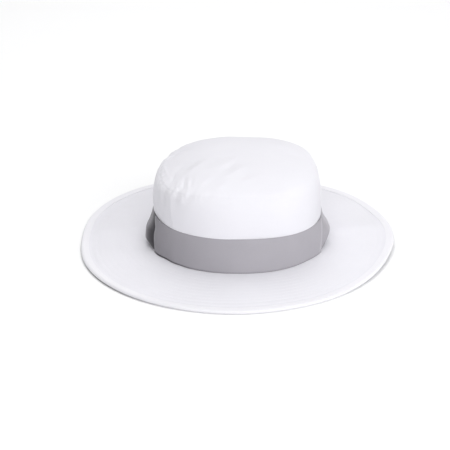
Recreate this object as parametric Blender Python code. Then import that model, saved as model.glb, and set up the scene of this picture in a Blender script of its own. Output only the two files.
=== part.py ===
"""A white cloth sun hat, lying on its brim: round soft crown, wide brim, grey band with side pleats.

Metres, +Z up. The origin is on the surface the brim rests on, under the middle of the crown.
The front of the hat faces -Y. Azimuths are in degrees: 0 is +X, 90 the back, 180 -X, 270 the front.
"""
import math
from collections import namedtuple

import bmesh
import bpy
from mathutils import Vector

# Crown: outside sizes of the side wall where it stands on the brim
CROWN_WIDTH = 0.1815
CROWN_DEPTH = 0.1880
WALL_HEIGHT = 0.0795
TIP_RISE = 0.0104
CROWN_CLOTH = 0.0015
SHOULDER_SLUMP = 0.0065
SLUMP_AZIMUTH = 172.0
SLUMP_CURVE = 3

# Brim: reach from the crown's foot to the edge, and how the edge lies
BRIM_REACH = 0.0740
BRIM_CLOTH = 0.0020
BRIM_EDGE_CLOTH = 0.0012
SEAT_HEIGHT = 0.0070
EDGE_LIFT_RIGHT = 0.0085
EDGE_LIFT_LEFT = 0.0027
BRIM_RIDGE = 0.0016
BRIM_TAPER = 4

# How the brim's edge lies, in degrees: spread of each side's lift, how far from the side the edge
# comes down, and each crease's turn towards the back on the right and the front on the left
LIFT_SPREAD = 40.0
LIFT_END = 62.0
RIDGE_TURN = 6.0
RIDGE_SPREAD = 7.0

# Binding: a strip folded round the brim's edge
BINDING_WIDTH = 0.0065
BINDING_CLOTH = 0.0010

# Corners of the binding's rounded outer edge, as shares of its half height
CORNER_REACH, CORNER_RISE = 0.75, 0.62

# Band: a front panel with its ends folded under, and a back strip that bows out at the sides
BAND_HEIGHT = 0.0367
BAND_DIP_RIGHT = 0.0047
BAND_CLOTH = 0.0012
BAND_TURN_UNDER = 0.0120
PLEAT_BOW_RIGHT = 0.0084
PLEAT_BOW_LEFT = 0.0068
FOLD_REACH = 0.0010

# Clearance between neighbouring pieces
GAP = 0.0003

# Fineness of the meshes
CROWN_SIDES = 72
BRIM_SIDES = 84
BAND_STEP = 6.0
PLEAT_STEPS = 12

# How square the plan outline is: 2 is an ellipse, more is squarer
FOOT_SQUARENESS = 2.25
SEAM_SQUARENESS = 2.60
EDGE_SQUARENESS = 2.12
SQUARING_CURVE = 4

LEFT, RIGHT, FRONT, BACK = 180.0, 0.0, 270.0, 90.0

# Side wall sections: height as a share of WALL_HEIGHT, reach as a share of the foot's half sizes
WallSection = namedtuple("WallSection", "height reach")
WALL_SECTIONS = (
    WallSection(0.00, 1.000),
    WallSection(0.12, 0.992),
    WallSection(0.30, 0.982),
    WallSection(0.50, 0.978),
    WallSection(0.66, 0.976),
    WallSection(0.76, 0.970),
    WallSection(0.84, 0.959),
    WallSection(0.90, 0.947),
    WallSection(0.95, 0.927),
    WallSection(1.00, 0.899),
)

# Rings of the top panel: reach as a share of the seam's half sizes
TIP_REACHES = (1.0, 0.93, 0.84, 0.72, 0.58, 0.43, 0.28, 0.14)
TIP_ROUNDNESS = 3.3
NEAR_CENTRE = 1.98

# Brim sections: reach as a share of BRIM_REACH, drop as a share of the fall from seat to edge
BrimSection = namedtuple("BrimSection", "reach drop")
BRIM_SECTIONS = (
    BrimSection(0.00, 0.00),
    BrimSection(0.14, 0.05),
    BrimSection(0.32, 0.20),
    BrimSection(0.52, 0.45),
    BrimSection(0.72, 0.72),
    BrimSection(0.88, 0.91),
    BrimSection(1.00, 1.00),
)

# The edge's plan: how far out it lies at an azimuth, as a share of an even outline
EdgeShape = namedtuple("EdgeShape", "azimuth share")
EDGE_SHAPES = (
    EdgeShape(0.0, 1.009),
    EdgeShape(22.5, 0.996),
    EdgeShape(45.0, 1.009),
    EdgeShape(67.5, 1.005),
    EdgeShape(90.0, 1.004),
    EdgeShape(112.5, 1.012),
    EdgeShape(135.0, 1.027),
    EdgeShape(157.5, 1.024),
    EdgeShape(180.0, 1.008),
    EdgeShape(202.5, 1.012),
    EdgeShape(225.0, 1.003),
    EdgeShape(247.5, 0.999),
    EdgeShape(270.0, 1.001),
    EdgeShape(292.5, 0.978),
    EdgeShape(315.0, 0.971),
    EdgeShape(337.5, 0.981),
)

# Levels between which the crown's folds come in
FOLDS_START, FOLDS_FULL = 0.25, 0.50

# Folds of the side wall: azimuth, level of the middle (0 the foot, 1 the tip seam), slant from the
# level line, length and width as shares of CROWN_WIDTH, depth as a share of WALL_HEIGHT (below
# zero is a valley)
WallFold = namedtuple("WallFold", "azimuth level slant length width depth")
WALL_FOLDS = (
    WallFold(249.0, 1.00, 50.0, 0.100, 0.032, -0.009),
    WallFold(243.0, 1.00, 58.0, 0.100, 0.032, 0.009),
    WallFold(236.0, 0.98, 72.0, 0.100, 0.030, -0.013),
    WallFold(229.0, 0.96, 84.0, 0.100, 0.030, 0.011),
    WallFold(222.0, 0.95, 90.0, 0.110, 0.030, -0.013),
    WallFold(214.0, 0.90, 92.0, 0.140, 0.032, -0.011),
    WallFold(207.0, 0.95, 96.0, 0.110, 0.030, 0.007),
    WallFold(340.0, 0.62, 90.0, 0.260, 0.030, -0.008),
    WallFold(151.0, 0.97, 90.0, 0.100, 0.032, -0.012),
    WallFold(139.0, 0.98, 90.0, 0.100, 0.032, -0.009),
)

# Folds of the tip: place of the middle as shares of the crown's half sizes to the right and back,
# slant from the left-right line, then as for the wall
TipFold = namedtuple("TipFold", "across along slant length width depth")
TIP_FOLDS = (
    TipFold(-0.09, -0.30, 62.0, 0.210, 0.034, -0.016),
    TipFold(-0.01, -0.44, 62.0, 0.220, 0.032, 0.013),
    TipFold(0.11, -0.45, 55.0, 0.160, 0.034, -0.013),
    TipFold(-0.30, -0.62, 52.0, 0.150, 0.032, -0.010),
    TipFold(-0.22, -0.75, 58.0, 0.130, 0.034, 0.010),
    TipFold(-0.46, -0.20, 58.0, 0.170, 0.034, 0.011),
    TipFold(-0.66, -0.15, 64.0, 0.140, 0.034, -0.010),
    TipFold(0.58, 0.36, 150.0, 0.160, 0.044, 0.010),
)

# Pleat rows: level up the band as a share of its height, share of the bow on the left and right
PleatRow = namedtuple("PleatRow", "level left right")
PLEAT_ROWS = (
    PleatRow(0.00, 0.50, 0.35),
    PleatRow(0.25, 0.95, 0.90),
    PleatRow(0.50, 0.76, 1.00),
    PleatRow(0.65, 0.58, 0.80),
    PleatRow(0.80, 0.36, 0.22),
    PleatRow(1.00, 0.04, 0.02),
)

# Where the front panel's folded ends lie, in degrees forward of the side, at the foot and the top
PLEAT_FOOT_LEFT, PLEAT_TOP_LEFT = 19.0, 9.0
PLEAT_FOOT_RIGHT, PLEAT_TOP_RIGHT = 27.0, 17.0
PLEAT_REACH_BACK = 7.0
PLEAT_TUCK = 7.0

# How the pleats bow: skew towards the fold and sharpness of the bow, degrees over which the panel
# climbs onto its turned-under end, shares of that end where it has a column, and the dip's place
BOW_SKEW = 0.62
BOW_SHARPNESS = 1.2
PANEL_CLIMB = 16.0
TURN_UNDER_SHARES = (1.0, 0.6, 0.2)
DIP_AZIMUTH = 350.0

COTTON_WHITE = (0.86, 0.86, 0.88, 1.0)
BINDING_WHITE = (0.88, 0.88, 0.90, 1.0)
BAND_GREY = (0.36, 0.35, 0.37, 1.0)
COTTON_ROUGHNESS = 0.85
BAND_ROUGHNESS = 0.80


def interpolate(rows, key, value, share):
    """Read a column of a table at a share, with straight runs between its rows."""
    for low, high in zip(rows, rows[1:]):
        start, end = getattr(low, key), getattr(high, key)
        if share <= end:
            along = (share - start) / (end - start)
            return getattr(low, value) + along * (getattr(high, value) - getattr(low, value))
    return getattr(rows[-1], value)


def turn(azimuth, towards):
    """Return the signed angle in degrees from one azimuth to another."""
    return (azimuth - towards + 180.0) % 360.0 - 180.0


def plan_point(azimuth, half_width, half_depth, squareness):
    """Return the point of a rounded plan outline in the direction of an azimuth."""
    across, along = math.cos(math.radians(azimuth)), math.sin(math.radians(azimuth))
    size = (abs(across) ** squareness + abs(along) ** squareness) ** (-1.0 / squareness)
    return Vector((half_width * across * size, half_depth * along * size, 0.0))


def crown_form(azimuth, level):
    """Return a point of the crown's outside before its folds; level 0 foot, 1 seam, 2 centre."""
    half_width, half_depth = CROWN_WIDTH / 2, CROWN_DEPTH / 2
    seam_reach = WALL_SECTIONS[-1].reach
    climb = min(level, 1.0)
    if level <= 1.0:
        reach = interpolate(WALL_SECTIONS, "height", "reach", level)
        height = level * WALL_HEIGHT
    else:
        share = 2.0 - level
        reach = seam_reach * share
        height = WALL_HEIGHT + TIP_RISE * (1.0 - share ** TIP_ROUNDNESS)
    squareness = FOOT_SQUARENESS + climb ** SQUARING_CURVE * (SEAM_SQUARENESS - FOOT_SQUARENESS)
    point = plan_point(azimuth, half_width * reach, half_depth * reach, squareness)
    leaning = max(0.0, math.cos(math.radians(turn(azimuth, SLUMP_AZIMUTH)))) ** 2
    slump = SHOULDER_SLUMP * leaning * climb ** SLUMP_CURVE * min(1.0, 2.0 - level)
    point.z = SEAT_HEIGHT + GAP + height - slump
    return point


def crown_normal(azimuth, level):
    """Return the outward direction of the crown's form at an azimuth and level."""
    span, step = 1.0, 0.01
    around = crown_form(azimuth + span, level) - crown_form(azimuth - span, level)
    low, high = max(0.0, level - step), min(NEAR_CENTRE, level + step)
    upward = crown_form(azimuth, high) - crown_form(azimuth, low)
    return around.cross(upward).normalized()


def fold_shape(fold, sideways, upward):
    """Return a fold's height at a place given from its middle along two level directions."""
    slant = math.radians(fold.slant)
    along = sideways * math.cos(slant) + upward * math.sin(slant)
    across = upward * math.cos(slant) - sideways * math.sin(slant)
    length, width = fold.length * CROWN_WIDTH / 2, fold.width * CROWN_WIDTH
    return fold.depth * WALL_HEIGHT * math.exp(-(along / length) ** 2 - (across / width) ** 2)


def fold_height(azimuth, level):
    """Return how far the folds lift the cloth out of, or press it into, the crown's form."""
    height = 0.0
    climb = WALL_HEIGHT if level < 1.0 else CROWN_WIDTH / 2
    for fold in WALL_FOLDS:
        sideways = math.radians(turn(azimuth, fold.azimuth)) * CROWN_WIDTH / 2
        height += fold_shape(fold, sideways, (level - 1.0) * climb + (1.0 - fold.level) * WALL_HEIGHT)
    place = crown_form(azimuth, level)
    for fold in TIP_FOLDS:
        sideways = place.x - fold.across * CROWN_WIDTH / 2
        height += fold_shape(fold, sideways, place.y - fold.along * CROWN_DEPTH / 2)
    return height


def crown_point(azimuth, level):
    """Return a point of the crown's outside; the folds fade out towards the band."""
    calm = min(1.0, max(0.0, (level - FOLDS_START) / (FOLDS_FULL - FOLDS_START)))
    return crown_form(azimuth, level) + crown_normal(azimuth, level) * fold_height(azimuth, level) * calm


def tent(degrees):
    """Return the share of a side's lift that is left at an angle from the side."""
    away = degrees / LIFT_SPREAD
    return math.exp(1.0 - math.sqrt(1.0 + 2.0 * away * away))


def edge_lift(azimuth):
    """Return how high the brim's edge lies above the surface: most at the sides, as a soft tent."""
    lift = 0.0
    for side, height in ((LEFT, EDGE_LIFT_LEFT), (RIGHT, EDGE_LIFT_RIGHT)):
        lift += height * (tent(turn(azimuth, side)) - tent(LIFT_END))
    return max(0.0, lift)


def brim_ridge(azimuth, share):
    """Return the height of the two soft creases that run out to the sides."""
    ridge = 0.0
    for middle in (LEFT - RIDGE_TURN, RIGHT + RIDGE_TURN):
        away = turn(azimuth, middle) / RIDGE_SPREAD
        ridge += BRIM_RIDGE * math.exp(-away * away)
    return ridge * math.sin(math.pi * min(1.0, share))


def edge_share(azimuth):
    """Return how far out the edge lies as a share of its even outline, smooth between the rows."""
    count, place = len(EDGE_SHAPES), azimuth % 360.0
    index = max(number for number, row in enumerate(EDGE_SHAPES) if row.azimuth <= place)
    rows = [EDGE_SHAPES[(index + step) % count] for step in (-1, 0, 1, 2)]
    before, low, high, after = (row.share for row in rows)
    along = (place - rows[1].azimuth) / ((rows[2].azimuth - rows[1].azimuth) % 360.0)
    bend = 2 * before - 5 * low + 4 * high - after + along * (3 * (low - high) + after - before)
    return low + along * (high - before + along * bend) / 2


def edge_bottom():
    """Return the height of the brim's underside at its edge above the surface it rests on."""
    return BINDING_CLOTH + GAP


def brim_top(azimuth, share):
    """Return a point of the brim's upper side; share 0 at the crown's foot, 1 at the edge."""
    foot = plan_point(azimuth, CROWN_WIDTH / 2, CROWN_DEPTH / 2, FOOT_SQUARENESS)
    edge = plan_point(
        azimuth, CROWN_WIDTH / 2 + BRIM_REACH, CROWN_DEPTH / 2 + BRIM_REACH, EDGE_SQUARENESS
    )
    point = foot.lerp(edge * edge_share(azimuth), share)
    edge_top = edge_bottom() + BRIM_EDGE_CLOTH + edge_lift(azimuth)
    drop = interpolate(BRIM_SECTIONS, "reach", "drop", share)
    point.z = SEAT_HEIGHT + drop * (edge_top - SEAT_HEIGHT) + brim_ridge(azimuth, share)
    return point


def brim_thickness(share):
    """Return how thick the brim is: its plies are pressed thinner towards the edge."""
    return BRIM_CLOTH + share ** BRIM_TAPER * (BRIM_EDGE_CLOTH - BRIM_CLOTH)


def brim_section(azimuth):
    """Return the brim's closed cross-section at an azimuth, anticlockwise from its inner edge."""
    inner = crown_form(azimuth, 0.0)
    outward = Vector((inner.x, inner.y, 0.0)).normalized()
    shares = [row.reach for row in BRIM_SECTIONS]
    upper = [brim_top(azimuth, share) for share in shares]
    upper.insert(0, Vector((inner.x, inner.y, SEAT_HEIGHT)) - outward * CROWN_CLOTH)
    lower = []
    for share, point in zip([0.0] + shares, upper):
        lower.append(point - Vector((0.0, 0.0, brim_thickness(share))))
    return lower + upper[::-1]


def binding_section(azimuth):
    """Return the binding's closed cross-section, a strip folded round the brim's edge."""
    inner_share = 1.0 - BINDING_WIDTH / BRIM_REACH
    edge = brim_top(azimuth, 1.0)
    inside = brim_top(azimuth, inner_share)
    outward = Vector((edge.x - inside.x, edge.y - inside.y, 0.0)).normalized()
    up = Vector((0.0, 0.0, 1.0))
    cloth, clear = BINDING_CLOTH, GAP
    edge_low = edge - up * BRIM_EDGE_CLOTH
    inside_low = inside - up * brim_thickness(inner_share)
    bulge = (BRIM_EDGE_CLOTH + 2 * clear) / 2 + cloth
    middle = (edge + edge_low) / 2
    outside = [
        inside_low - up * (clear + cloth),
        edge_low - up * (clear + cloth),
        middle + outward * (clear + bulge * CORNER_REACH) - up * bulge * CORNER_RISE,
        middle + outward * (clear + bulge),
        middle + outward * (clear + bulge * CORNER_REACH) + up * bulge * CORNER_RISE,
        edge + up * (clear + cloth),
        inside + up * (clear + cloth),
    ]
    hollow = [
        inside + up * clear,
        edge + up * clear + outward * clear,
        edge_low - up * clear + outward * clear,
        inside_low - up * clear,
    ]
    # The underside lies flat where it nearly touches what the hat rests on
    if outside[0].z - edge_lift(azimuth) < cloth:
        outside[0].z = edge_lift(azimuth)
    return outside + hollow


def panel_end(side, level):
    """Return the azimuth of the front panel's folded end at a share of the band's height."""
    if side == LEFT:
        return LEFT + PLEAT_FOOT_LEFT + level * (PLEAT_TOP_LEFT - PLEAT_FOOT_LEFT)
    return 360.0 - (PLEAT_FOOT_RIGHT + level * (PLEAT_TOP_RIGHT - PLEAT_FOOT_RIGHT))


def band_point(azimuth, level, offset):
    """Return a point at a distance outside the crown wall, level 0 to 1 up the band."""
    dip = BAND_DIP_RIGHT * max(0.0, math.cos(math.radians(turn(azimuth, DIP_AZIMUTH)))) ** 3
    height = level * (BAND_HEIGHT - dip) / WALL_HEIGHT
    point = crown_form(azimuth, height)
    normal = crown_normal(azimuth, height)
    outward = Vector((normal.x, normal.y, 0.0)).normalized()
    return point + outward * offset


def pleat_span(side, level):
    """Return the degrees over which the back strip bows out, from the fold to behind the side."""
    return abs(turn(panel_end(side, level), side)) + PLEAT_REACH_BACK


def front_offset(from_end):
    """Return how far the front panel's outside stands off the wall, degrees in from its end."""
    flat = GAP + BAND_CLOTH
    stacked = 3 * (GAP + BAND_CLOTH)
    rise = max(0.0, 1.0 - from_end / PANEL_CLIMB)
    return flat + (stacked - flat) * (1.0 - (1.0 - rise) ** 2 * (1.0 + 2.0 * rise))


def bow_offset(side, behind, level):
    """Return how far the back strip's outside stands off the wall, degrees behind the fold."""
    flat = GAP + BAND_CLOTH
    column, bow = ("left", PLEAT_BOW_LEFT) if side == LEFT else ("right", PLEAT_BOW_RIGHT)
    if behind <= 0.0:
        return flat
    along = min(1.0, behind / pleat_span(side, level))
    wave = math.sin(math.pi * along ** BOW_SKEW) ** BOW_SHARPNESS if along < 1.0 else 0.0
    return flat + bow * interpolate(PLEAT_ROWS, "level", column, level) * wave


def add_object(name, bm, colour, roughness):
    """Make an object with its own material out of a finished mesh."""
    mesh = bpy.data.meshes.new(name)
    bm.to_mesh(mesh)
    bm.free()
    mesh.shade_smooth()
    material = bpy.data.materials.new(name + "_cloth")
    material.use_nodes = True
    shader = material.node_tree.nodes["Principled BSDF"]
    shader.inputs["Base Color"].default_value = colour
    shader.inputs["Roughness"].default_value = roughness
    shader.inputs["Metallic"].default_value = 0.0
    mesh.materials.append(material)
    created = bpy.data.objects.new(name, mesh)
    bpy.context.collection.objects.link(created)
    return created


def add_wall(target, thickness):
    """Give a sheet its thickness, grown inward from the side its faces point to."""
    solidify = target.modifiers.new("Cloth", "SOLIDIFY")
    solidify.thickness = thickness
    solidify.offset = -1.0
    solidify.use_even_offset = True


def sheet_mesh(rows, closed):
    """Join rows of points into a sheet; closed joins the last column to the first.

    Returns the mesh and its rows of vertices.
    """
    bm = bmesh.new()
    grid = [[bm.verts.new(point) for point in row] for row in rows]
    count = len(grid[0])
    for low, high in zip(grid, grid[1:]):
        for column in range(count if closed else count - 1):
            beside = (column + 1) % count
            bm.faces.new((low[column], low[beside], high[beside], high[column]))
    return bm, grid


def join_rings(bm, low, high):
    """Close the strip between two rings of vertices with the same number of vertices."""
    for column in range(len(low)):
        beside = (column + 1) % len(low)
        bm.faces.new((low[column], low[beside], high[beside], high[column]))


def join_inside(bm, rows):
    """Add the inner skin of a shell, with its faces pointing inward, and return its rows."""
    grid = [[bm.verts.new(point) for point in row] for row in rows]
    for low, high in zip(grid, grid[1:]):
        join_rings(bm, high, low)
    return grid


def close_ring(bm, ring, height):
    """Close a ring with a fan of faces to a point in its middle at a given height."""
    centre = sum((vertex.co for vertex in ring), Vector()) / len(ring)
    middle = bm.verts.new((centre.x, centre.y, height))
    for column, vertex in enumerate(ring):
        bm.faces.new((vertex, ring[(column + 1) % len(ring)], middle))


def swept_mesh(section_at, sides):
    """Sweep a closed cross-section round the hat."""
    bm = bmesh.new()
    sections = [[bm.verts.new(point) for point in section_at(360.0 * side / sides)]
                for side in range(sides)]
    count = len(sections[0])
    for side in range(sides):
        here, there = sections[side], sections[(side + 1) % sides]
        for corner in range(count):
            after = (corner + 1) % count
            bm.faces.new((here[corner], there[corner], there[after], here[after]))
    return bm


def crown_rings(levels):
    """Return the rings of points of the crown's outside and inside at some levels."""
    azimuths = [360.0 * side / CROWN_SIDES for side in range(CROWN_SIDES)]
    outside = [[crown_point(azimuth, level) for azimuth in azimuths] for level in levels]
    inside = [[crown_point(azimuth, level) - crown_normal(azimuth, level) * CROWN_CLOTH
               for azimuth in azimuths] for level in levels]
    return outside, inside


def build_crown_wall():
    """Make the side wall of the crown, open at its foot and at the tip seam."""
    levels = [row.height for row in WALL_SECTIONS]
    levels[-1] -= GAP / WALL_HEIGHT
    outside, inside = crown_rings(levels)
    for point in inside[0]:
        point.z = outside[0][0].z
    bm, outer = sheet_mesh(outside, closed=True)
    inner = join_inside(bm, inside)
    join_rings(bm, inner[0], outer[0])
    join_rings(bm, outer[-1], inner[-1])
    add_object("crown_wall", bm, COTTON_WHITE, COTTON_ROUGHNESS)


def build_crown_tip():
    """Make the domed top panel of the crown."""
    seam_gap = GAP / (CROWN_WIDTH / 2)
    levels = [2.0 - reach + (seam_gap if reach == 1.0 else 0.0) for reach in TIP_REACHES]
    outside, inside = crown_rings(levels)
    bm, outer = sheet_mesh(outside, closed=True)
    inner = join_inside(bm, inside)
    join_rings(bm, inner[0], outer[0])
    top = crown_point(FRONT, NEAR_CENTRE).z
    close_ring(bm, outer[-1], top)
    close_ring(bm, inner[-1][::-1], top - CROWN_CLOTH)
    add_object("crown_tip", bm, COTTON_WHITE, COTTON_ROUGHNESS)


def build_brim():
    """Make the wide brim with its two side creases."""
    add_object("brim", swept_mesh(brim_section, BRIM_SIDES), COTTON_WHITE, COTTON_ROUGHNESS)


def build_binding():
    """Make the strip that binds the brim's edge."""
    add_object("brim_binding", swept_mesh(binding_section, BRIM_SIDES), BINDING_WHITE, COTTON_ROUGHNESS)


def build_band_front():
    """Make the front panel of the band, its two ends folded back under it."""
    under = math.degrees(BAND_TURN_UNDER / (CROWN_WIDTH / 2))
    past = math.degrees(FOLD_REACH / (CROWN_WIDTH / 2))
    hidden = 2 * (GAP + BAND_CLOTH)
    in_fold = (hidden + front_offset(0.0)) / 2
    rows = []
    for row in PLEAT_ROWS:
        start, end = panel_end(LEFT, row.level), panel_end(RIGHT, row.level)
        count = round((panel_end(RIGHT, 0.0) - panel_end(LEFT, 0.0)) / BAND_STEP)
        points = []
        for share in TURN_UNDER_SHARES:
            points.append(band_point(start + under * share, row.level, hidden))
        points.append(band_point(start - past, row.level, in_fold))
        for step in range(count + 1):
            azimuth = start + (end - start) * step / count
            offset = front_offset(min(azimuth - start, end - azimuth))
            points.append(band_point(azimuth, row.level, offset))
        points.append(band_point(end + past, row.level, in_fold))
        for share in reversed(TURN_UNDER_SHARES):
            points.append(band_point(end - under * share, row.level, hidden))
        rows.append(points)
    bm, _ = sheet_mesh(rows, closed=False)
    add_wall(add_object("band_front", bm, BAND_GREY, BAND_ROUGHNESS), BAND_CLOTH)


def back_azimuths(level):
    """Return the azimuths of the back strip's columns, closer together where it bows out."""
    right, left = panel_end(RIGHT, level) - 360.0, panel_end(LEFT, level)
    right_span, left_span = pleat_span(RIGHT, level), pleat_span(LEFT, level)
    ahead = [right - PLEAT_TUCK, right - PLEAT_TUCK / 2]
    bowed = [right + right_span * step / PLEAT_STEPS for step in range(PLEAT_STEPS)]
    start, end = right + right_span, left - left_span
    count = round((LEFT - RIGHT) / BAND_STEP)
    round_back = [start + (end - start) * step / count for step in range(count)]
    bowed_left = [end + left_span * step / PLEAT_STEPS for step in range(PLEAT_STEPS + 1)]
    return ahead + bowed + round_back + bowed_left + [left + PLEAT_TUCK / 2, left + PLEAT_TUCK]


def build_band_back():
    """Make the back strip of the band, which bows out beside the front panel's ends."""
    rows = []
    for row in PLEAT_ROWS:
        right, left = panel_end(RIGHT, row.level) - 360.0, panel_end(LEFT, row.level)
        points = []
        for azimuth in back_azimuths(row.level):
            side = RIGHT if azimuth < BACK else LEFT
            behind = azimuth - right if side == RIGHT else left - azimuth
            points.append(band_point(azimuth, row.level, bow_offset(side, behind, row.level)))
        rows.append(points)
    bm, _ = sheet_mesh(rows, closed=False)
    add_wall(add_object("band_back", bm, BAND_GREY, BAND_ROUGHNESS), BAND_CLOTH)


def main():
    """Clear the scene and build the hat from the top of the crown down."""
    for leftover in list(bpy.data.objects):
        bpy.data.objects.remove(leftover)
    build_crown_tip()
    build_crown_wall()
    build_band_front()
    build_band_back()
    build_brim()
    build_binding()


main()
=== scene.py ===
"""Dresses a white cloth sun hat: a sewn crown, a stitched brim with a bound edge and a pleated band."""
import logging
import math
from dataclasses import dataclass
from enum import Enum
from functools import cached_property
from typing import NamedTuple, Sequence, Union

import bpy
import numpy as np
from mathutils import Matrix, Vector


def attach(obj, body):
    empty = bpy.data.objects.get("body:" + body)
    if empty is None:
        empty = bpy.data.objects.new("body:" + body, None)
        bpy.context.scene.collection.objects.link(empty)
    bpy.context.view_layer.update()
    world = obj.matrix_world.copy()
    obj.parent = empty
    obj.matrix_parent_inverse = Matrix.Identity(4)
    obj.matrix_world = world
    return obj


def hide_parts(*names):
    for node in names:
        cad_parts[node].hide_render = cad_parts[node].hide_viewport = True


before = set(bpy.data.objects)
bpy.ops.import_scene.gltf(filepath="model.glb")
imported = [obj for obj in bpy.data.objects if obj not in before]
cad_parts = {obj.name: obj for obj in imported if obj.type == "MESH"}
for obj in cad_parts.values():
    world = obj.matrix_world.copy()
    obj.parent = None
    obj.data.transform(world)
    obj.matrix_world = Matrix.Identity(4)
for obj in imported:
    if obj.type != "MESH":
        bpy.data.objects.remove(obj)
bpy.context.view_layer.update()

LOG = logging.getLogger("sun_hat")
MM = 0.001
BODY = "root"


class Side(Enum):
    """The two sides of the hat where the band is pleated, by their azimuth in degrees."""

    RIGHT = 0.0
    LEFT = 180.0


class Slot(Enum):
    """The record's material slots."""

    COTTON = "white_cotton"
    TWILL = "grey_twill"


class WallFold(NamedTuple):
    """A fold of the side wall: its middle, slant from the level line and sizes in millimetres."""

    azimuth: float
    level: float
    slant: float
    length: float
    width: float
    depth: float


class TipFold(NamedTuple):
    """A fold of the tip: its middle in millimetres to the right and back, slant and sizes."""

    across: float
    along: float
    slant: float
    length: float
    width: float
    depth: float


WALL_FOLDS = (
    WallFold(249.0, 1.00, 50.0, 8.0, 3.4, -0.45),
    WallFold(243.0, 1.00, 58.0, 7.5, 3.2, 0.45),
    WallFold(236.0, 0.98, 72.0, 8.0, 3.0, -0.70),
    WallFold(231.0, 0.96, 84.0, 8.0, 2.8, 0.70),
    WallFold(226.0, 0.95, 90.0, 9.0, 3.0, -0.80),
    WallFold(213.0, 0.90, 92.0, 14.0, 3.4, -0.75),
    WallFold(206.0, 0.95, 96.0, 10.0, 3.2, 0.60),
    WallFold(199.0, 0.96, 92.0, 9.0, 2.8, 0.45),
    WallFold(194.0, 0.96, 88.0, 10.0, 3.0, -0.55),
    WallFold(340.0, 0.62, 90.0, 23.8, 4.0, -0.55),
    WallFold(334.0, 0.70, 90.0, 20.0, 4.0, 0.30),
    WallFold(151.0, 0.97, 90.0, 9.2, 4.8, -0.95),
    WallFold(139.0, 0.98, 90.0, 9.2, 4.8, -0.65),
)
TIP_FOLDS = (
    TipFold(-8.0, -25.0, 64.0, 14.0, 4.6, -0.90),
    TipFold(-2.0, -38.0, 54.0, 14.0, 4.4, 0.72),
    TipFold(5.0, -52.0, 52.0, 12.0, 4.4, -0.62),
    TipFold(-27.0, -56.0, 50.0, 10.0, 3.8, -0.34),
    TipFold(-19.0, -70.0, 62.0, 12.0, 5.8, 0.62),
    TipFold(-37.0, -62.0, 66.0, 11.0, 3.2, 0.30),
    TipFold(-42.0, -18.0, 58.0, 15.0, 5.4, 0.85),
    TipFold(-52.0, -17.0, 60.0, 12.0, 4.4, -0.55),
    TipFold(-61.0, -14.0, 64.0, 12.0, 4.6, -0.70),
    TipFold(-55.2, -50.0, 88.0, 11.0, 1.8, -0.78),
    TipFold(-62.5, -53.0, 84.0, 10.0, 1.8, 0.66),
    TipFold(-58.8, -56.0, 88.0, 8.0, 1.5, 0.36),
    TipFold(-50.6, -57.0, 88.0, 10.0, 1.5, 0.50),
    TipFold(-47.4, -54.0, 86.0, 8.0, 1.5, -0.50),
    TipFold(-67.0, -31.0, 84.0, 8.0, 1.7, -0.80),
    TipFold(-75.3, -9.0, 99.0, 18.0, 1.3, 0.45),
    TipFold(-71.0, 32.0, 35.0, 7.0, 1.9, -1.40),
    TipFold(-60.5, 43.0, 155.0, 6.0, 1.9, -1.40),
    TipFold(53.1, 33.8, 150.0, 14.6, 8.1, 0.80),
    TipFold(62.0, 13.0, 150.0, 9.0, 4.0, -0.50),
)


def turn(azimuth: np.ndarray, towards: float) -> np.ndarray:
    """Return the signed angles in degrees from azimuths to one azimuth."""
    return (np.asarray(azimuth) - towards + 180.0) % 360.0 - 180.0


def unit(vectors: np.ndarray) -> np.ndarray:
    """Return vectors brought to length one."""
    return vectors / np.maximum(np.linalg.norm(vectors, axis=-1, keepdims=True), 1e-12)


def hump(distance: np.ndarray, width: float) -> np.ndarray:
    """Return a smooth hump that is one at no distance and dies away past the width."""
    return np.exp(-(np.asarray(distance) / width) ** 2)


def through_points(xs: Sequence[float], ys: Sequence[float], at: np.ndarray) -> np.ndarray:
    """Read a smooth curve that runs through points without overshooting between them.

    Args:
        xs: where the points lie, rising.
        ys: the points' values.
        at: where to read the curve.

    Returns:
        The curve's values.
    """
    xs, ys = np.asarray(xs, float), np.asarray(ys, float)
    steps = np.diff(xs)
    slopes = np.diff(ys) / steps
    tangents = np.empty_like(xs)
    tangents[0], tangents[-1] = slopes[0], slopes[-1]
    same = slopes[:-1] * slopes[1:] > 0
    sums = np.where(same, slopes[:-1] + slopes[1:], 1.0)
    tangents[1:-1] = np.where(same, 2 * slopes[:-1] * slopes[1:] / sums, 0.0)
    at = np.clip(at, xs[0], xs[-1])
    cell = np.clip(np.searchsorted(xs, at, side="right") - 1, 0, len(xs) - 2)
    along = (at - xs[cell]) / steps[cell]
    square, cube = along ** 2, along ** 3
    return (
        (2 * cube - 3 * square + 1) * ys[cell]
        + (cube - 2 * square + along) * steps[cell] * tangents[cell]
        + (3 * square - 2 * cube) * ys[cell + 1]
        + (cube - square) * steps[cell] * tangents[cell + 1]
    )


@dataclass(frozen=True)
class Crumple:
    """Soft, seeded unevenness of cloth as a sum of waves that run through space."""

    seed: int
    wavelength: float
    waves: int = 22

    def at(self, points: np.ndarray) -> np.ndarray:
        """Return the unevenness, about -1 to 1, at points in metres."""
        draw = np.random.default_rng(self.seed)
        heading = unit(draw.normal(size=(self.waves, 3)))
        length = self.wavelength * draw.uniform(0.7, 1.9, size=self.waves)
        phase = draw.uniform(0.0, 2 * math.pi, size=self.waves)
        total = np.zeros(points.shape[:-1])
        for direction, span, start in zip(heading, length, phase):
            total += np.sin(points @ direction * (2 * math.pi / span) + start)
        return total / math.sqrt(self.waves)


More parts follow.
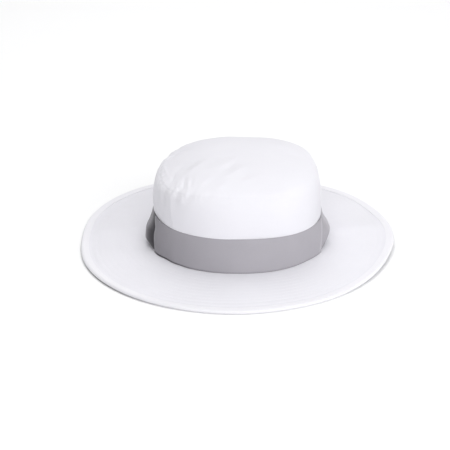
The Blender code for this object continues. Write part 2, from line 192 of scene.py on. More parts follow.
@dataclass(frozen=True)
class HatForm:
    """The hat's form, in metres: what every piece is cut to."""

    crown_width: float = 0.1815
    crown_depth: float = 0.1880
    wall_height: float = 0.0795
    tip_rise: float = 0.0104
    tip_roundness: float = 3.3
    slump: float = 0.0065
    slump_azimuth: float = 172.0
    reach: float = 0.0740
    seat: float = 0.0070
    gap: float = 0.0003
    lift_right: float = 0.0085
    lift_left: float = 0.0027
    lift_spread: float = 40.0
    ridge: float = 0.0016
    edge_cloth: float = 0.0012
    binding_cloth: float = 0.0010
    foot_squareness: float = 2.25
    seam_squareness: float = 2.60
    edge_squareness: float = 2.12
    wall_heights: tuple = (0.0, 0.12, 0.30, 0.50, 0.66, 0.76, 0.84, 0.90, 0.95, 1.0)
    wall_reaches: tuple = (1.0, 0.992, 0.982, 0.978, 0.976, 0.970, 0.959, 0.947, 0.927, 0.899)
    brim_shares: tuple = (0.0, 0.14, 0.32, 0.52, 0.72, 0.88, 1.0)
    brim_drops: tuple = (0.0, 0.05, 0.20, 0.45, 0.72, 0.91, 1.0)
    edge_shares: tuple = (1.009, 0.996, 1.009, 1.005, 1.004, 1.012, 1.027, 1.024,
                          1.008, 1.012, 1.003, 0.999, 1.001, 0.978, 0.971, 0.981)
    softness: float = 0.0034

    @cached_property
    def profile(self) -> tuple[np.ndarray, np.ndarray, np.ndarray]:
        """Return levels with the crown's reach and height there, its shoulder softly rounded."""
        level = np.linspace(0.0, 2.0, 801)
        climb, share = np.minimum(level, 1.0), np.clip(2.0 - level, 0.0, 1.0)
        on_wall = level <= 1.0
        wall_reach = through_points(self.wall_heights, self.wall_reaches, climb)
        reach = np.where(on_wall, wall_reach, self.wall_reaches[-1] * share)
        dome = self.wall_height + self.tip_rise * (1.0 - share ** self.tip_roundness)
        height = np.where(on_wall, climb * self.wall_height, dome)
        radius = reach * self.crown_width / 2
        travelled = np.concatenate([[0.0], np.cumsum(np.hypot(np.diff(radius), np.diff(height)))])
        away = (travelled[:, None] - travelled[None, :]) / self.softness
        weight = np.exp(-0.5 * away ** 2) * np.gradient(travelled)[None, :]
        weight /= weight.sum(axis=1, keepdims=True)
        near_shoulder = hump(travelled - np.interp(1.0, level, travelled), 0.016)
        reach += near_shoulder * (weight @ reach - reach)
        height += near_shoulder * (weight @ height - height)
        return level, reach, height

    def plan(self, azimuth: np.ndarray, half_width: np.ndarray, half_depth: np.ndarray,
             squareness: np.ndarray) -> np.ndarray:
        """Return points of a rounded plan outline, at height zero, towards azimuths."""
        across, along = np.cos(np.radians(azimuth)), np.sin(np.radians(azimuth))
        size = (np.abs(across) ** squareness + np.abs(along) ** squareness) ** (-1.0 / squareness)
        flat = np.zeros_like(across * size)
        return np.stack([half_width * across * size, half_depth * along * size, flat], axis=-1)

    def crown(self, azimuth: np.ndarray, level: np.ndarray) -> np.ndarray:
        """Return points of the crown's smooth outside: level 0 foot, 1 tip seam, 2 centre."""
        azimuth, level = np.broadcast_arrays(np.asarray(azimuth, float), np.asarray(level, float))
        climb, share = np.minimum(level, 1.0), np.clip(2.0 - level, 0.0, 1.0)
        levels, reaches, heights = self.profile
        reach, height = np.interp(level, levels, reaches), np.interp(level, levels, heights)
        squareness = self.foot_squareness + climb ** 4 * (self.seam_squareness - self.foot_squareness)
        points = self.plan(azimuth, self.crown_width / 2 * reach, self.crown_depth / 2 * reach, squareness)
        leaning = np.maximum(0.0, np.cos(np.radians(turn(azimuth, self.slump_azimuth)))) ** 2
        slump = self.slump * leaning * climb ** 3 * share
        points[..., 2] = self.seat + self.gap + height - slump
        return points

    def crown_normal(self, azimuth: np.ndarray, level: np.ndarray) -> np.ndarray:
        """Return the outward directions of the crown's smooth form."""
        span, step = 1.0, 0.012
        around = self.crown(azimuth + span, level) - self.crown(azimuth - span, level)
        low, high = np.maximum(0.0, level - step), np.minimum(1.98, level + step)
        return unit(np.cross(around, self.crown(azimuth, high) - self.crown(azimuth, low)))

    def edge_lift(self, azimuth: np.ndarray) -> np.ndarray:
        """Return how high the brim's edge lies above the floor, most at the two sides."""
        lift = np.zeros_like(np.asarray(azimuth, float))
        for side, height in ((Side.LEFT, self.lift_left), (Side.RIGHT, self.lift_right)):
            for away, sign in ((turn(azimuth, side.value) / self.lift_spread, 1.0),
                               (62.0 / self.lift_spread, -1.0)):
                lift = lift + sign * height * np.exp(1.0 - np.sqrt(1.0 + 2.0 * away * away))
        return np.maximum(0.0, lift)

    def edge_share(self, azimuth: np.ndarray) -> np.ndarray:
        """Return how far out the edge lies as shares of its even outline."""
        shares = np.array(self.edge_shares)
        place = np.asarray(azimuth) % 360.0 * len(shares) / 360.0
        index = np.floor(place).astype(int)
        along = place - index
        before, low, high, after = (shares[(index + step) % len(shares)] for step in (-1, 0, 1, 2))
        bend = 2 * before - 5 * low + 4 * high - after + along * (3 * (low - high) + after - before)
        return low + 0.5 * along * (high - before + along * bend)

    def brim_top(self, azimuth: np.ndarray, share: np.ndarray) -> np.ndarray:
        """Return points of the brim's upper side: share 0 at the crown's foot, 1 at the edge."""
        azimuth, share = np.broadcast_arrays(np.asarray(azimuth, float), np.asarray(share, float))
        half_width, half_depth = self.crown_width / 2, self.crown_depth / 2
        foot = self.plan(azimuth, half_width, half_depth, self.foot_squareness)
        edge = self.plan(azimuth, half_width + self.reach, half_depth + self.reach, self.edge_squareness)
        edge = edge * self.edge_share(azimuth)[..., None]
        points = foot + (edge - foot) * share[..., None]
        edge_top = self.binding_cloth + self.gap + self.edge_cloth + self.edge_lift(azimuth)
        drop = through_points(self.brim_shares, self.brim_drops, share)
        crease = sum(hump(turn(azimuth, side.value) - lean, 7.0)
                     for side, lean in ((Side.RIGHT, 6.0), (Side.LEFT, -6.0)))
        crease = crease * self.ridge * np.sin(math.pi * np.clip(share, 0.0, 1.0))
        points[..., 2] = self.seat + drop * (edge_top - self.seat) + crease
        return points

    def outward(self, azimuth: np.ndarray) -> np.ndarray:
        """Return the level directions that point straight away from the brim's edge."""
        span = 1.0
        run = self.brim_top(azimuth + span, 1.0) - self.brim_top(azimuth - span, 1.0)
        run[..., 2] = 0.0
        return unit(np.cross(run, np.array([0.0, 0.0, 1.0])))


@dataclass(frozen=True)
class TipSeam:
    """The seam between side wall and tip, with the puckers that its stitches draw."""

    form: HatForm
    puckers: int = 92
    seed: int = 11
    topstitch: float = 0.0021

    def distance(self, level: np.ndarray) -> np.ndarray:
        """Return signed distances along the cloth from the seam, above it positive."""
        wall = (level - 1.0) * self.form.wall_height * 1.25
        tip = (level - 1.0) * self.form.crown_width / 2 * self.form.wall_reaches[-1]
        return np.where(level < 1.0, wall, tip)

    def strength(self, azimuth: np.ndarray) -> np.ndarray:
        """Return how hard the seam is drawn in, most at the left of the front."""
        front_left = 0.9 * hump(turn(azimuth, 222.0), 22.0)
        return 0.16 + front_left + 0.7 * hump(turn(azimuth, 184.0), 22.0) + 0.9 * hump(turn(azimuth, 147.0), 16.0)

    def relief(self, azimuth: np.ndarray, level: np.ndarray) -> np.ndarray:
        """Return the height of the seam's groove, its raised allowance and its puckers."""
        away, pull = self.distance(level), self.strength(azimuth)
        relief = (0.04 + 0.18 * pull) * MM * hump(away - 1.3 * MM, 1.8 * MM)
        relief -= (0.02 + 0.14 * pull) * MM * hump(away + 0.6 * MM, 1.0 * MM)
        relief -= 0.04 * MM * hump(away - self.topstitch, 0.6 * MM)
        draw = np.random.default_rng(self.seed)
        girth = self.form.crown_width / 2
        for index in range(self.puckers):
            middle = 360.0 * (index + draw.uniform(-0.35, 0.35)) / self.puckers
            width, length = draw.uniform(0.9, 1.7) * MM, draw.uniform(3.0, 7.5) * MM
            lean, offset = draw.uniform(-0.35, 0.35), draw.uniform(-3.0, 0.5) * MM
            strength = float(self.strength(np.array(middle)))
            depth = strength * draw.uniform(0.25, 0.60) * MM
            length *= 0.7 + 0.6 * strength
            sideways = np.radians(turn(azimuth, middle)) * girth - lean * away
            relief -= depth * hump(sideways, width) * hump(away - offset, length)
            shoulder = hump(np.abs(sideways) - 2.0 * width, width)
            relief += 0.45 * depth * shoulder * hump(away - offset, length)
        return relief


@dataclass(frozen=True)
class Crease:
    """A sharp upright crease of the side wall, where the cloth turns from the side to the front."""

    azimuth: float
    lean: float
    height: float
    width: float

    def relief(self, form: HatForm, azimuth: np.ndarray, level: np.ndarray) -> np.ndarray:
        """Return the crease's height."""
        middle = self.azimuth + self.lean * (1.0 - level)
        sideways = np.radians(turn(azimuth, 0.0) - turn(middle, 0.0))
        sideways = (sideways + math.pi) % (2 * math.pi) - math.pi
        away = np.sqrt((sideways * form.crown_width / 2) ** 2 + (0.5 * MM) ** 2)
        fade = np.clip((level - 0.40) / 0.15, 0.0, 1.0) * np.clip((1.03 - level) / 0.10, 0.0, 1.0)
        return self.height * MM * np.exp(-away / (self.width * MM)) * fade


WALL_CREASES = (
    Crease(221.0, 6.0, 1.15, 5.0),
    Crease(213.0, 4.0, 0.26, 2.0),
    Crease(206.0, 3.0, 0.14, 1.8),
    Crease(199.0, 2.0, 0.16, 1.6),
)


@dataclass(frozen=True)
class CrownCloth:
    """The cloth of the crown: its smooth form with folds, seam and unevenness laid over it."""

    form: HatForm
    seam: TipSeam
    soft: Crumple = Crumple(seed=3, wavelength=0.052)
    small: Crumple = Crumple(seed=4, wavelength=0.016)

    def folds(self, azimuth: np.ndarray, level: np.ndarray, place: np.ndarray) -> np.ndarray:
        """Return the height of the large folds."""
        height = np.zeros(place.shape[:-1])
        climb = np.where(level < 1.0, self.form.wall_height, self.form.crown_width / 2)
        for fold in WALL_FOLDS:
            sideways = np.radians(turn(azimuth, fold.azimuth)) * self.form.crown_width / 2
            upward = (level - 1.0) * climb + (1.0 - fold.level) * self.form.wall_height
            height += self.shape(fold, sideways, upward)
        for fold in TIP_FOLDS:
            height += self.shape(fold, place[..., 0] - fold.across * MM, place[..., 1] - fold.along * MM)
        return height

    @staticmethod
    def shape(fold: Union[WallFold, TipFold], sideways: np.ndarray, upward: np.ndarray) -> np.ndarray:
        """Return one fold's height at places given from its middle."""
        slant = math.radians(fold.slant)
        along = sideways * math.cos(slant) + upward * math.sin(slant)
        across = upward * math.cos(slant) - sideways * math.sin(slant)
        return fold.depth * MM * hump(along, fold.length * MM) * hump(across, fold.width * MM)

    def points(self, azimuth: np.ndarray, level: np.ndarray) -> np.ndarray:
        """Return points of the finished outside of the crown."""
        place = self.form.crown(azimuth, level)
        calm = np.clip(4.0 * (level - 0.25), 0.0, 1.0)
        relief = self.folds(azimuth, level, place) + self.seam.relief(azimuth, level)
        relief += sum(crease.relief(self.form, azimuth, level) for crease in WALL_CREASES)
        relief += 0.38 * MM * self.soft.at(place) + 0.09 * MM * self.small.at(place)
        return place + self.form.crown_normal(azimuth, level) * (relief * calm)[..., None]


class Socket:
    """A number in a shader, which adds Math nodes when it is used in an expression."""

    def __init__(self, graph: "Graph", output: bpy.types.NodeSocket) -> None:
        """Wrap a node's output."""
        self.graph = graph
        self.output = output

    def math(self, operation: str, *others: Union["Socket", float]) -> "Socket":
        """Return the result of a Math node whose first input is this number."""
        return self.graph.math(operation, self, *others)

    def __add__(self, other: Union["Socket", float]) -> "Socket":
        """Return the sum."""
        return self.graph.math("ADD", self, other)

    def __radd__(self, other: float) -> "Socket":
        """Return the sum with a number on the left."""
        return self.graph.math("ADD", other, self)

    def __sub__(self, other: Union["Socket", float]) -> "Socket":
        """Return the difference."""
        return self.graph.math("SUBTRACT", self, other)

    def __rsub__(self, other: float) -> "Socket":
        """Return the difference from a number on the left."""
        return self.graph.math("SUBTRACT", other, self)

    def __mul__(self, other: Union["Socket", float]) -> "Socket":
        """Return the product."""
        return self.graph.math("MULTIPLY", self, other)

    def __rmul__(self, other: float) -> "Socket":
        """Return the product with a number on the left."""
        return self.graph.math("MULTIPLY", other, self)

    def __truediv__(self, other: Union["Socket", float]) -> "Socket":
        """Return the quotient."""
        return self.graph.math("DIVIDE", self, other)

    def __rtruediv__(self, other: float) -> "Socket":
        """Return the quotient of a number on the left."""
        return self.graph.math("DIVIDE", other, self)


class Graph:
    """The node graph of one material."""

    def __init__(self, name: str) -> None:
        """Start a material with an empty graph."""
        self.material = bpy.data.materials.new(name)
        self.material.use_nodes = True
        self.tree = self.material.node_tree
        self.tree.nodes.clear()

    def node(self, kind: str, settings: dict, values: dict) -> bpy.types.Node:
        """Add a node.

        Args:
            kind: the node's type without the ShaderNode in front.
            settings: what the node is set to, before its sockets are used.
            values: for each input, by name or number, a value, a Socket or an output.

        Returns:
            The node.
        """
        made = self.tree.nodes.new("ShaderNode" + kind)
        for name, setting in settings.items():
            if name == "stops":
                for stop, (position, shade) in zip(made.color_ramp.elements, setting):
                    stop.position, stop.color = position, shade
            else:
                setattr(made, name, setting)
        for key, value in values.items():
            source = value.output if isinstance(value, Socket) else value
            if isinstance(source, bpy.types.NodeSocket):
                self.tree.links.new(source, made.inputs[key])
            else:
                made.inputs[key].default_value = source
        return made

    def math(self, operation: str, *terms: Union[Socket, float]) -> Socket:
        """Add a Math node on numbers and return its result."""
        made = self.node("Math", {"operation": operation}, dict(enumerate(terms)))
        return Socket(self, made.outputs[0])

    def mix(self, factor: Socket, low: Union[tuple, bpy.types.NodeSocket],
            high: Union[tuple, bpy.types.NodeSocket]) -> bpy.types.NodeSocket:
        """Return a colour between two colours, by a factor."""
        made = self.node("Mix", {"data_type": "RGBA"}, {0: factor, 6: low, 7: high})
        return made.outputs[2]

    def cloth_axes(self) -> tuple[Socket, Socket]:
        """Return the distances in metres along the two thread directions of the cloth."""
        chart = self.node("UVMap", {"uv_map": "Cloth"}, {})
        parts = self.node("SeparateXYZ", {}, {0: chart.outputs[0]})
        return Socket(self, parts.outputs[0]), Socket(self, parts.outputs[1])

    def attribute(self, name: str) -> Socket:
        """Return a number that each vertex of the piece carries."""
        made = self.node("Attribute", {"attribute_name": name}, {})
        return Socket(self, made.outputs[2])

    def noise(self, scale: float, detail: float = 3.0) -> Socket:
        """Return noise, 0 to 1, that is fixed to the piece."""
        place = self.node("TexCoord", {}, {})
        made = self.node("TexNoise", {}, {"Vector": place.outputs["Object"], "Scale": scale,
                                          "Detail": detail, "Roughness": 0.55})
        return Socket(self, made.outputs[0])

    def finish(self, values: dict) -> bpy.types.Material:
        """Close the graph with a Principled shader and return the material."""
        shader = self.node("BsdfPrincipled", {}, values)
        self.node("OutputMaterial", {}, {"Surface": shader.outputs[0]})
        return self.material


@dataclass(frozen=True)
class CottonFinish:
    """Plain-woven white cotton: fine threads both ways, faint clouding and slubs."""

    name: str = "white_cotton_weave"
    light: tuple = (0.812, 0.806, 0.848, 1.0)
    dim: tuple = (0.754, 0.746, 0.794, 1.0)
    thread: float = 0.00062
    roughness: float = 0.88

    def tint(self, graph: Graph, colour: bpy.types.NodeSocket) -> bpy.types.NodeSocket:
        """Return the cloth's colour as it is."""
        return colour

    def make(self) -> bpy.types.Material:
        """Return the material."""
        graph = Graph(self.name)
        warp, weft = graph.cloth_axes()
        wander = (graph.noise(900.0, 2.0) - 0.5) * (0.5 * self.thread)
        turns = math.pi / self.thread
        over = ((warp + wander) * turns).math("SINE") * ((weft + wander) * turns).math("SINE")
        slub = graph.noise(420.0, 4.0)
        fluff = graph.noise(2600.0, 2.0)
        height = over * 0.5 + slub * 0.55 + fluff * 0.35
        clouds = graph.noise(26.0, 4.0)
        shade = (clouds * 0.45 + slub * 0.35 + over * 0.10 + 0.10).math("MINIMUM", 1.0)
        bump = graph.node("Bump", {}, {"Strength": 0.55, "Distance": 0.00010, "Height": height})
        return graph.finish({
            "Base Color": self.tint(graph, graph.mix(shade, self.dim, self.light)),
            "Roughness": self.roughness + (slub - 0.5) * 0.12,
            "Specular IOR Level": 0.22,
            "Sheen Weight": 0.18,
            "Sheen Roughness": 0.5,
            "Normal": bump.outputs[0],
        })


@dataclass(frozen=True)
class EdgingFinish(CottonFinish):
    """The cotton of the brim's binding, with a painted contact shadow along its lower lip where it lies on the
    floor.
    """

    name: str = "white_cotton_edging"
    light: tuple = (0.855, 0.850, 0.885, 1.0)
    dim: tuple = (0.800, 0.792, 0.832, 1.0)
    # Painted contact shadow along the lower lip: its colour, place, widths, strength and the side where it is
    # darkest.
    painted_lighting: tuple = (0.030, 0.028, 0.036, 1.0)
    lip: float = 0.0109
    lip_width: float = 0.0021
    painted_soft_shade_width: float = 0.0062
    painted_soft_shade: float = 0.14
    girth: float = 1.0351
    painted_shadow_side: float = 209.0

    def tint(self, graph: Graph, colour: bpy.types.NodeSocket) -> bpy.types.NodeSocket:
        """Return the cloth's colour with a painted contact shadow along the lower lip and a softer painted shade
        beside it, most at the left of the front.
        """
        around, across = graph.cloth_axes()
        # Painted shade: a dark line along the lower lip and a softer band beside it stand in for the contact
        # shadow under the brim's edge, darkest towards the left of the front.
        from_lip = (across - self.lip) / self.lip_width
        line = (1.0 - from_lip * from_lip).math("MAXIMUM", 0.0)
        from_painted_soft_shade = (across - self.lip) / self.painted_soft_shade_width
        painted_soft_shade = (1.0 - from_painted_soft_shade * from_painted_soft_shade).math("MAXIMUM", 0.0) * self.painted_soft_shade
        facing = (around * (2 * math.pi / self.girth) - math.radians(self.painted_shadow_side)).math("COSINE")
        facing = facing.math("MAXIMUM", 0.0)
        facing = facing * facing
        facing = facing * facing
        grey = line * (0.09 + facing * facing * 0.91)
        return graph.mix((grey + painted_soft_shade * facing).math("MINIMUM", 1.0), colour, self.painted_lighting)


@dataclass(frozen=True)
class TwillFinish:
    """Grey ribbed band cloth: upright ribs crossed by fine threads, darker at its two selvedges."""

    name: str = "grey_ribbed_twill"
    light: tuple = (0.455, 0.440, 0.475, 1.0)
    dim: tuple = (0.340, 0.326, 0.358, 1.0)
    rib: float = 0.00115
    thread: float = 0.00055
    height: float = 0.0367
    selvedge: float = 0.0011
    hem_shadow: float = 0.0021
    roughness: float = 0.72
    # Painted shade colour: the pleats' recesses, the band's shaded left side and the hem shadow.
    painted_shade_colour: tuple = (0.018, 0.016, 0.020, 1.0)
    # Painted highlight colour: the folds' lit edges and the right bow.
    painted_lighting: tuple = (0.70, 0.69, 0.73, 1.0)

    def shaded(self, graph: Graph, colour: bpy.types.NodeSocket, hem_shadow: Socket) -> bpy.types.NodeSocket:
        """Return the colour with painted shade in the pleats' recesses and on the band's left side, a painted
        contact shadow at the hem and painted highlights on the folds' edges and the right bow.
        """
        depth = (graph.attribute("Depth") + hem_shadow * graph.attribute("HemShadow")).math("MINIMUM", 1.0)
        return graph.mix(graph.attribute("PaintedHighlight"), graph.mix(depth, colour, self.painted_shade_colour), self.painted_lighting)

    def make(self) -> bpy.types.Material:
        """Return the material."""
        graph = Graph(self.name)
        along, up = graph.cloth_axes()
        wander = (graph.noise(500.0, 2.0) - 0.5) * (0.6 * self.rib)
        ribs = ((along + wander + up * 0.30) * (2 * math.pi / self.rib)).math("SINE")
        threads = ((up + wander) * (2 * math.pi / self.thread)).math("SINE")
        fluff = graph.noise(1900.0, 3.0)
        clouds = graph.noise(34.0, 3.0)
        to_edge = (up - self.height / 2).math("ABSOLUTE")
        rim = ((to_edge - (self.height / 2 - self.selvedge)) / self.selvedge).math("MAXIMUM", 0.0)
        rim = rim.math("MINIMUM", 1.0)
        # Painted contact shadow: a dark band along the band's lower edge where it meets the brim.
        hem_shadow = (1.0 - up / self.hem_shadow).math("MAXIMUM", 0.0)
        height = ribs * 0.5 + threads * 0.22 + fluff * 0.4
        shade = (clouds * 0.5 + fluff * 0.35 + ribs * 0.12 + 0.12 - rim * 0.35).math("MAXIMUM", 0.0)
        bump = graph.node("Bump", {}, {"Strength": 0.6, "Distance": 0.00013, "Height": height})
        return graph.finish({
            "Base Color": self.shaded(graph, graph.mix(shade.math("MINIMUM", 1.0), self.dim, self.light), hem_shadow),
            "Roughness": self.roughness + (fluff - 0.5) * 0.18,
            "Specular IOR Level": 0.30,
            "Sheen Weight": 0.22,
            "Sheen Roughness": 0.4,
            "Normal": bump.outputs[0],
        })


@dataclass(frozen=True)
class ThreadFinish:
    """Twisted sewing thread."""

    name: str
    light: tuple
    dim: tuple

    def make(self) -> bpy.types.Material:
        """Return the material."""
        graph = Graph(self.name)
        strand = graph.noise(3800.0, 2.0)
        bump = graph.node("Bump", {}, {"Strength": 0.5, "Distance": 0.00006, "Height": strand})
        return graph.finish({
            "Base Color": graph.mix(strand, self.dim, self.light),
            "Roughness": 0.55 + strand * 0.15,
            "Specular IOR Level": 0.35,
            "Normal": bump.outputs[0],
        })


@dataclass(frozen=True)
class FloorFinish:
    """A plain pale studio sweep."""

    name: str = "pale_floor"
    shade: tuple = (0.94, 0.94, 0.945, 1.0)
    glow: float = 0.03

    def make(self) -> bpy.types.Material:
        """Return the material."""
        graph = Graph(self.name)
        grain = graph.noise(6.0, 2.0)
        tone = graph.mix(grain, tuple(part * 0.995 for part in self.shade[:3]) + (1.0,), self.shade)
        return graph.finish({"Base Color": tone, "Roughness": 0.9, "Specular IOR Level": 0.1,
                             "Emission Color": (1.0, 1.0, 1.0, 1.0), "Emission Strength": self.glow})


class Tailor:
    """Cuts pieces from primitives with the modelling operators and sews them into shape."""

    @staticmethod
    def begin() -> None:
        """Leave edit mode and deselect everything."""
        if bpy.context.object and bpy.context.object.mode != "OBJECT":
            bpy.ops.object.mode_set(mode="OBJECT")
        bpy.ops.object.select_all(action="DESELECT")

    @classmethod
    def ring_sheet(cls, name: str, columns: int, rows: int) -> bpy.types.Object:
        """Draw a ring up into a sheet, one row of faces at a time.

        Args:
            name: the piece's name.
            columns: how many vertices go round.
            rows: how many rings the sheet has.

        Returns:
            The sheet, whose vertices still lie on a cylinder with the row as their height.
        """
        cls.begin()
        bpy.ops.mesh.primitive_circle_add(vertices=columns, radius=1.0, fill_type="NOTHING")
        piece = bpy.context.object
        piece.name = piece.data.name = name
        bpy.ops.object.mode_set(mode="EDIT")
        bpy.ops.mesh.select_all(action="SELECT")
        for _ in range(rows - 1):
            bpy.ops.mesh.extrude_region_move(TRANSFORM_OT_translate={"value": (0.0, 0.0, 1.0)})
        bpy.ops.object.mode_set(mode="OBJECT")
        return piece

    @classmethod
    def strip_sheet(cls, name: str, columns: int, rows: int) -> bpy.types.Object:
        """Lay out a flat strip, a grid of unit length and height with its corner at zero."""
        cls.begin()
        bpy.ops.mesh.primitive_grid_add(x_subdivisions=columns, y_subdivisions=rows, size=1.0)
        piece = bpy.context.object
        piece.name = piece.data.name = name
        bpy.ops.object.mode_set(mode="EDIT")
        bpy.ops.mesh.select_all(action="SELECT")
        bpy.ops.transform.translate(value=(0.5, 0.5, 0.0))
        bpy.ops.object.mode_set(mode="OBJECT")
        return piece

    @staticmethod
    def read(piece: bpy.types.Object) -> np.ndarray:
        """Return a piece's vertices."""
        points = np.empty(len(piece.data.vertices) * 3)
        piece.data.vertices.foreach_get("co", points)
        return points.reshape(-1, 3)

    @staticmethod
    def write(piece: bpy.types.Object, points: np.ndarray) -> None:
        """Move a piece's vertices."""
        piece.data.vertices.foreach_set("co", np.ascontiguousarray(points, float).ravel())
        piece.data.update()

    @staticmethod
    def chart(piece: bpy.types.Object, across: np.ndarray, along: np.ndarray, girth: float = 0.0) -> None:
        """Write the cloth's own chart, in metres along its threads.

        Args:
            piece: the piece to chart.
            across: for each vertex, its distance along the first thread direction.
            along: for each vertex, its distance along the second.
            girth: the distance round a closed piece, so that the chart can run on across its join.
        """
        mesh = piece.data
        corners = np.empty(len(mesh.loops), dtype=np.int64)
        mesh.loops.foreach_get("vertex_index", corners)
        flat = np.stack([across[corners], along[corners]], axis=1)
        if girth:
            starts = np.empty(len(mesh.polygons), dtype=np.int64)
            mesh.polygons.foreach_get("loop_start", starts)
            counts = np.diff(np.append(starts, len(corners)))
            highest = np.maximum.reduceat(flat[:, 0], starts)
            behind = np.repeat(highest, counts) - flat[:, 0] > girth / 2
            flat[behind, 0] += girth
        layer = mesh.uv_layers.new(name="Cloth")
        layer.data.foreach_set("uv", flat.ravel())

    @staticmethod
    def carry(piece: bpy.types.Object, name: str, values: np.ndarray) -> None:
        """Let each vertex of a piece carry a number for its finish."""
        layer = piece.data.attributes.new(name, "FLOAT", "POINT")
        layer.data.foreach_set("value", np.ascontiguousarray(values, np.float32))

    @classmethod
    def face_towards(cls, piece: bpy.types.Object, outward: np.ndarray) -> None:
        """Make a sheet's faces point the way that given directions at its vertices do."""
        cls.begin()
        piece.select_set(True)
        bpy.context.view_layer.objects.active = piece
        bpy.ops.object.mode_set(mode="EDIT")
        bpy.ops.mesh.select_all(action="SELECT")
        bpy.ops.mesh.normals_make_consistent(inside=False)
        bpy.ops.object.mode_set(mode="OBJECT")
        normals = np.empty(len(piece.data.vertices) * 3)
        piece.data.vertices.foreach_get("normal", normals)
        if np.sum(normals.reshape(-1, 3) * outward) < 0.0:
            bpy.ops.object.mode_set(mode="EDIT")
            bpy.ops.mesh.select_all(action="SELECT")
            bpy.ops.mesh.flip_normals()
            bpy.ops.object.mode_set(mode="OBJECT")

    @classmethod
    def close_last_row(cls, piece: bpy.types.Object, row: int) -> None:
        """Close the last ring of a ring sheet with a fan of faces."""
        cls.begin()
        piece.select_set(True)
        bpy.context.view_layer.objects.active = piece
        heights = cls.read(piece)[:, 2]
        bpy.ops.object.mode_set(mode="EDIT")
        bpy.ops.mesh.select_all(action="DESELECT")
        bpy.ops.object.mode_set(mode="OBJECT")
        piece.data.vertices.foreach_set("select", heights > row - 0.5)
        bpy.ops.object.mode_set(mode="EDIT")
        bpy.ops.mesh.select_mode(type="VERT")
        bpy.ops.mesh.edge_face_add()
        bpy.ops.mesh.poke()
        bpy.ops.object.mode_set(mode="OBJECT")

    @classmethod
    def thicken(cls, piece: bpy.types.Object, thickness: float) -> None:
        """Give a sheet the thickness of its cloth, grown inward, and shade it smooth."""
        cls.begin()
        piece.select_set(True)
        bpy.context.view_layer.objects.active = piece
        wall = piece.modifiers.new("Cloth", "SOLIDIFY")
        wall.thickness = thickness
        wall.offset = -1.0
        wall.use_even_offset = False
        bpy.ops.object.modifier_apply(modifier=wall.name)
        bpy.ops.object.shade_smooth_by_angle(angle=math.radians(50.0))


@dataclass(frozen=True)
class StitchRun:
    """A line of stitches: the cloth's points under it and the directions out of the cloth."""

    points: np.ndarray
    normals: np.ndarray
    closed: bool = True


@dataclass
class Stitching:
    """Rows of separate stitches that lie on the cloth."""

    name: str
    finish: ThreadFinish
    length: float = 0.0022
    pitch: float = 0.0031
    width: float = 0.00034
    sink: float = 0.00010

    def stitch(self) -> tuple[np.ndarray, list]:
        """Model one stitch along X and return its vertices and faces."""
        Tailor.begin()
        bpy.ops.mesh.primitive_uv_sphere_add(segments=6, ring_count=4, radius=0.5)
        stitch = bpy.context.object
        bpy.ops.object.mode_set(mode="EDIT")
        bpy.ops.mesh.select_all(action="SELECT")
        bpy.ops.transform.rotate(value=math.pi / 2, orient_axis="Y", center_override=(0.0, 0.0, 0.0))
        bpy.ops.transform.resize(value=(self.length, self.width, self.width * 0.8))
        bpy.ops.object.mode_set(mode="OBJECT")
        points = Tailor.read(stitch)
        ends = np.abs(points[:, 0]) / (self.length / 2)
        points[:, 2] -= self.width * 0.55 * ends ** 3
        faces = [tuple(face.vertices) for face in stitch.data.polygons]
        mesh = stitch.data
        bpy.data.objects.remove(stitch)
        bpy.data.meshes.remove(mesh)
        return points, faces

    def sew(self, runs: list[StitchRun]) -> bpy.types.Object:
        """Lay stitches along runs and return them as one piece.

        Args:
            runs: the lines to sew.

        Returns:
            The piece.
        """
        points, faces = self.stitch()
        placed, joined = [], []
        for run in runs:
            for place, heading, normal in self.places(run):
                beside = np.cross(normal, heading)
                base = place + normal * (self.width * 0.4 - self.sink)
                offset = len(placed) * len(points)
                placed.append(base + points[:, :1] * heading + points[:, 1:2] * beside
                              + points[:, 2:] * normal)
                joined.extend(tuple(corner + offset for corner in face) for face in faces)
        mesh = bpy.data.meshes.new(self.name)
        mesh.from_pydata(np.concatenate(placed).tolist(), [], joined)
        mesh.shade_smooth()
        piece = bpy.data.objects.new(self.name, mesh)
        bpy.context.scene.collection.objects.link(piece)
        piece.data.materials.append(self.finish.make())
        LOG.info("%s: %d stitches", self.name, len(placed))
        return piece

    def places(self, run: StitchRun) -> list[tuple[np.ndarray, np.ndarray, np.ndarray]]:
        """Return where each stitch of a run lies, its heading and the way out of the cloth."""
        points, normals = run.points, run.normals
        if run.closed:
            points, normals = np.vstack([points, points[:1]]), np.vstack([normals, normals[:1]])
        steps = np.linalg.norm(np.diff(points, axis=0), axis=1)
        travelled = np.concatenate([[0.0], np.cumsum(steps)])
        count = max(1, int(travelled[-1] / self.pitch))
        places = []
        for index in range(count):
            middle = travelled[-1] * (index + 0.5) / count
            ends = [middle - self.length / 2, middle + self.length / 2]
            low, high, at, out = (
                np.array([np.interp(where, travelled, part[:, axis]) for axis in range(3)])
                for where, part in ((ends[0], points), (ends[1], points), (middle, points), (middle, normals))
            )
            heading = unit(high - low)
            out = unit(out - heading * np.dot(out, heading))
            places.append((at, heading, out))
        return places


